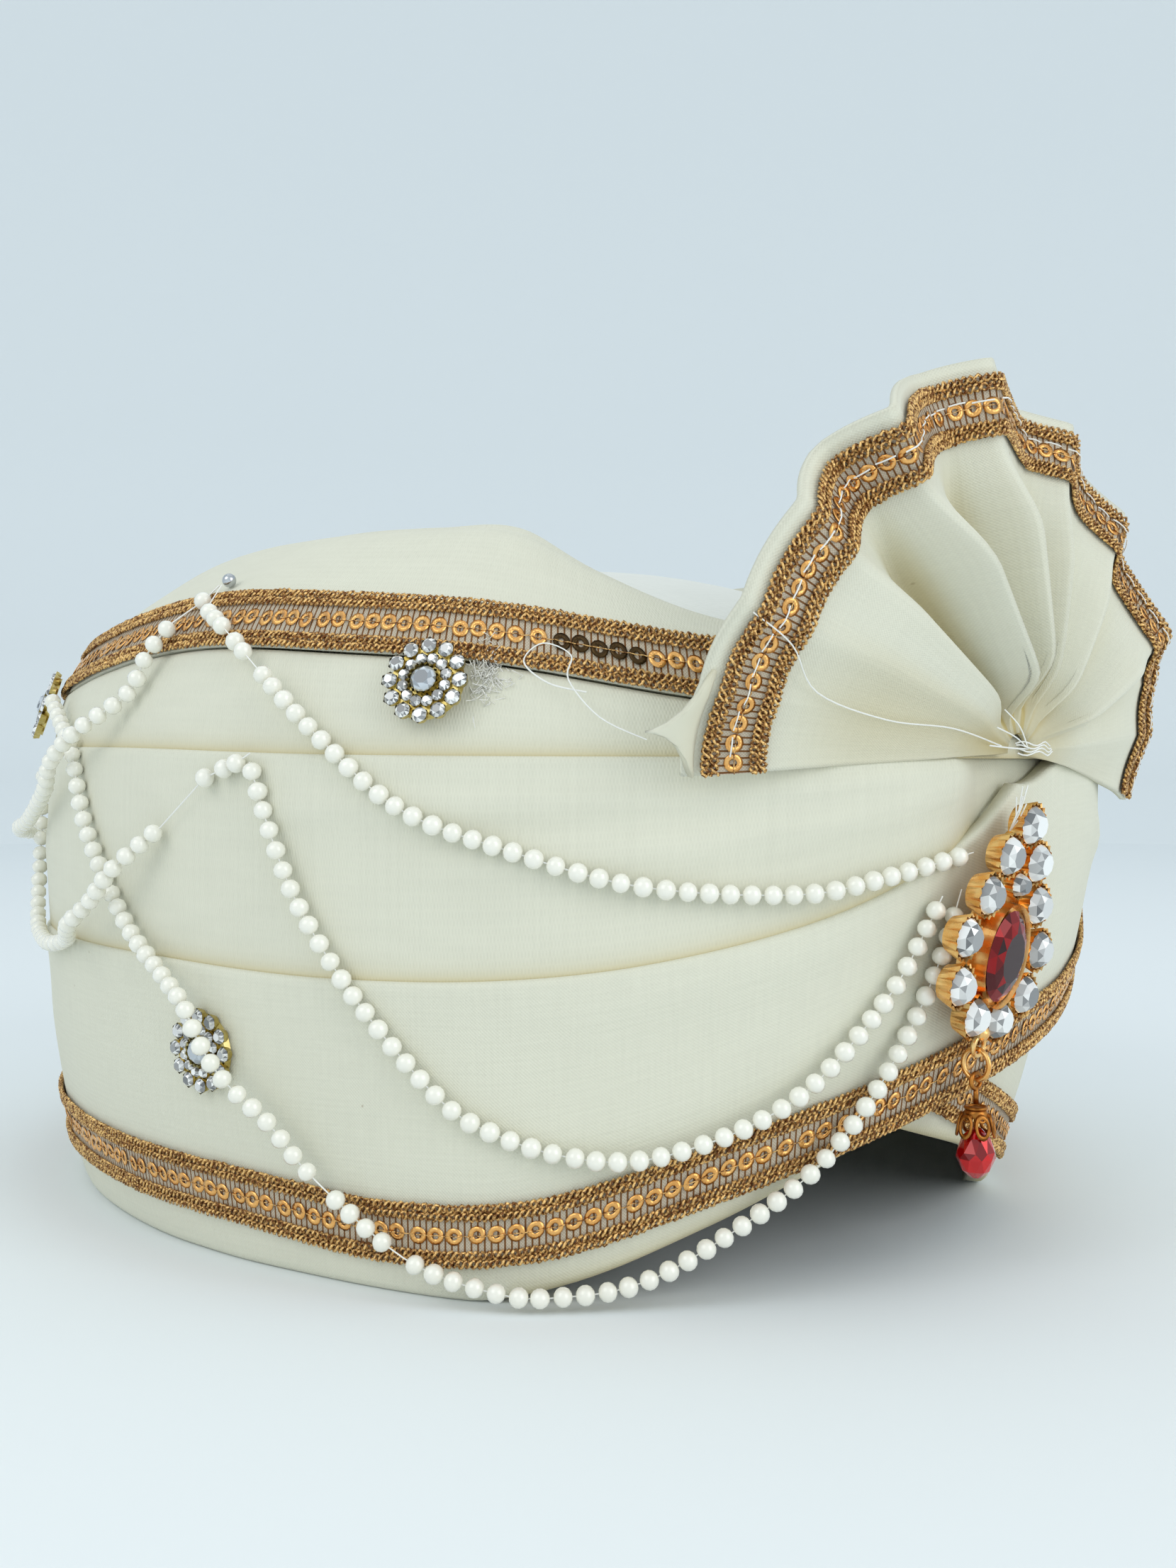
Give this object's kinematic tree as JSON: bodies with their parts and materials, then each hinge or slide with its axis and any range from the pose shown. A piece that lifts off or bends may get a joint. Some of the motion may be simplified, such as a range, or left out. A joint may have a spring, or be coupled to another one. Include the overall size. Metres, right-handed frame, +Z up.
{
  "type": "tied turban",
  "caption": "Ready-tied ivory wedding turban: wound cloth round an open head hollow, gold sequin trims, pleated fan, stone brooch with a hanging drop, and strings of pearls.",
  "frame": {"origin": "on the floor under the middle of the whole object's box", "axes": "+Z up; the wearer faces -Y; +X is the wearer's left"},
  "size_m": [0.2264, 0.2528, 0.1539],
  "materials": {
    "cloth": "matte ivory plain weave",
    "crown_cloth": "matte grey-white twill",
    "braid": "metal thread braid on net",
    "gold": "bright gold-coloured plating",
    "red_stone": "faceted red glass",
    "clear_stone": "faceted clear glass",
    "pale_gold": "pale gold plating set with glass",
    "steel": "polished",
    "pearl": "pearl coat"
  },
  "bodies": {
    "turban": {"lower_band": "cloth", "far_band": "cloth", "middle_band": "cloth", "upper_band": "cloth", "top_roll": "cloth", "fan": "cloth", "crown": "crown_cloth", "upper_trim": "braid", "lower_trim": "braid", "far_trim": "braid", "fan_trim": "braid", "brooch_setting": "gold", "red_stone": "red_stone", "clear_stone_01": "clear_stone", "clear_stone_02": "clear_stone", "clear_stone_03": "clear_stone", "clear_stone_04": "clear_stone", "clear_stone_05": "clear_stone", "clear_stone_06": "clear_stone", "clear_stone_07": "clear_stone", "clear_stone_08": "clear_stone", "clear_stone_09": "clear_stone", "clear_stone_10": "clear_stone", "clear_stone_11": "clear_stone", "clear_stone_12": "clear_stone", "button_front": "pale_gold", "button_side": "pale_gold", "button_back": "pale_gold", "pin_head": "steel", "pearls_top_front": "pearl", "pearls_top_back": "pearl", "pearls_middle_front": "pearl", "pearls_middle_back": "pearl", "pearls_low": "pearl"},
    "drop": {"jump_ring": "gold", "drop_cap": "gold", "drop_bead": "red_stone"}
  },
  "joints": [
    {"name": "drop swing", "type": "hinge", "parent": "turban", "child": "drop", "pos_m": [-0.00699, -0.11702, 0.03794], "axis": [-1, 0, 0], "range_deg": [-5, 60]}
  ]
}
